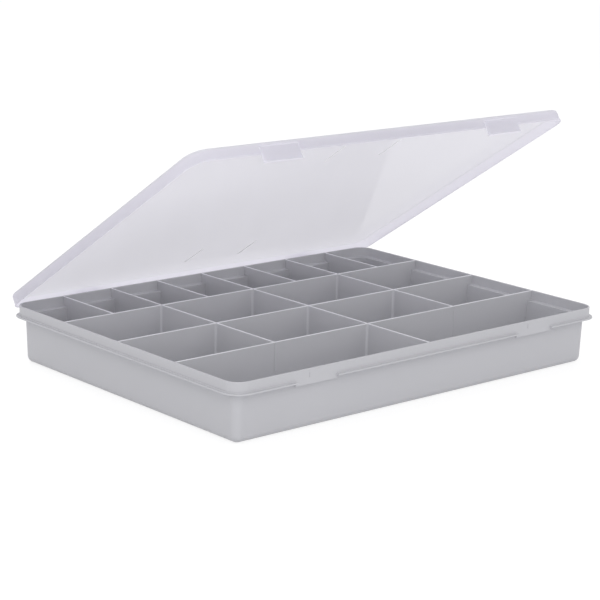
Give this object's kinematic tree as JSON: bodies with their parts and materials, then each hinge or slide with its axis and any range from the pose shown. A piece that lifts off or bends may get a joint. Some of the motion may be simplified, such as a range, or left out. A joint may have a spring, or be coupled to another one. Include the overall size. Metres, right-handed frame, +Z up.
{
  "type": "parts sorting tray",
  "caption": "Shallow grey compartment tray for sorting small model parts, with a hinged see-through lid and snap latch tabs, shown with the lid standing part open.",
  "frame": {"origin": "centre of the flat underside of the tray", "axes": "+X to the right along the latch side, +Y towards the hinges, +Z up"},
  "size_m": [0.426, 0.3245, 0.2248],
  "materials": {
    "tray_plastic": "satin light grey moulded polypropylene",
    "lid_plastic": "milky see-through moulded polypropylene"
  },
  "bodies": {
    "tray": {"tray_floor": "tray_plastic", "front_wall": "tray_plastic", "back_wall": "tray_plastic", "left_wall": "tray_plastic", "right_wall": "tray_plastic", "tray_corners": "tray_plastic", "row_divider_front": "tray_plastic", "row_divider_middle": "tray_plastic", "row_divider_back": "tray_plastic", "front_divider": "tray_plastic", "middle_front_divider_1": "tray_plastic", "middle_front_divider_2": "tray_plastic", "middle_front_divider_3": "tray_plastic", "middle_back_divider_1": "tray_plastic", "middle_back_divider_2": "tray_plastic", "middle_back_divider_3": "tray_plastic", "back_divider_1": "tray_plastic", "back_divider_2": "tray_plastic", "back_divider_3": "tray_plastic", "back_divider_4": "tray_plastic", "back_divider_5": "tray_plastic", "back_divider_6": "tray_plastic", "back_divider_7": "tray_plastic", "latch_seat_left": "tray_plastic", "latch_seat_right": "tray_plastic", "hinge_ears_left": "tray_plastic", "hinge_ears_right": "tray_plastic"},
    "lid": {"lid_panel": "lid_plastic", "lid_front_skirt": "lid_plastic", "lid_back_skirt": "lid_plastic", "lid_left_skirt": "lid_plastic", "lid_right_skirt": "lid_plastic", "lid_corners": "lid_plastic", "lid_ribs": "lid_plastic", "hinge_knuckle_left": "lid_plastic", "hinge_knuckle_right": "lid_plastic"},
    "latch_tab_left": {"latch_tab_left": "lid_plastic"},
    "latch_tab_right": {"latch_tab_right": "lid_plastic"}
  },
  "joints": [
    {"name": "lid_hinge", "type": "hinge", "parent": "tray", "child": "lid", "pos_m": [0, 0.1625, 0.0435], "axis": [-1, 0, 0], "range_deg": [-32.8, 147.2]},
    {"name": "latch_tab_left_flex", "type": "hinge", "parent": "lid", "child": "latch_tab_left", "pos_m": [-0.127, -0.10217, 0.22225], "axis": [-1, 0, 0], "range_deg": [0, 12], "stiffness_Nm_per_rad": 0.6},
    {"name": "latch_tab_right_flex", "type": "hinge", "parent": "lid", "child": "latch_tab_right", "pos_m": [0.127, -0.10217, 0.22225], "axis": [-1, 0, 0], "range_deg": [0, 12], "stiffness_Nm_per_rad": 0.6}
  ]
}
